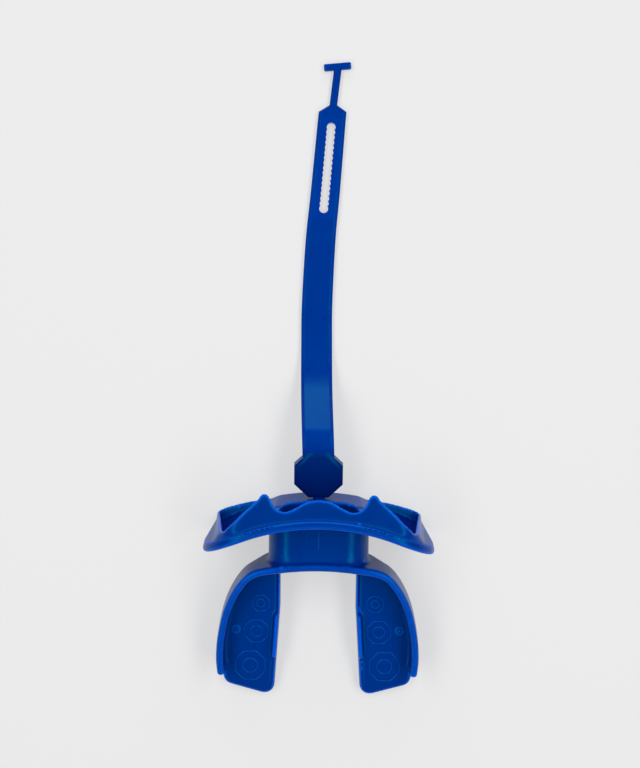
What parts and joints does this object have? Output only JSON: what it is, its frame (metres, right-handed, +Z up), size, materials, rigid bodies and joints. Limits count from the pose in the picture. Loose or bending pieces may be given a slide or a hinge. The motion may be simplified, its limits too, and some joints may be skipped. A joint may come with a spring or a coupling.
{
  "type": "mouthguard with lip guard",
  "caption": "Soft mouthguard with a tooth tray, an airway neck, a curved lip guard with a wavy visor, and a long tether strap with a scalloped slot and T-bar.",
  "frame": {"origin": "bottom centre of the bounding box, on the surface that the part rests on", "axes": "+X to the wearer's left across the guard, +Y forward from the tray to the end of the strap, +Z up from the surface"},
  "size_m": [0.0708, 0.198, 0.0313],
  "materials": {
    "blue_rubber": "satin"
  },
  "bodies": {
    "root": {"mouthguard": "blue_rubber"}
  },
  "joints": []
}
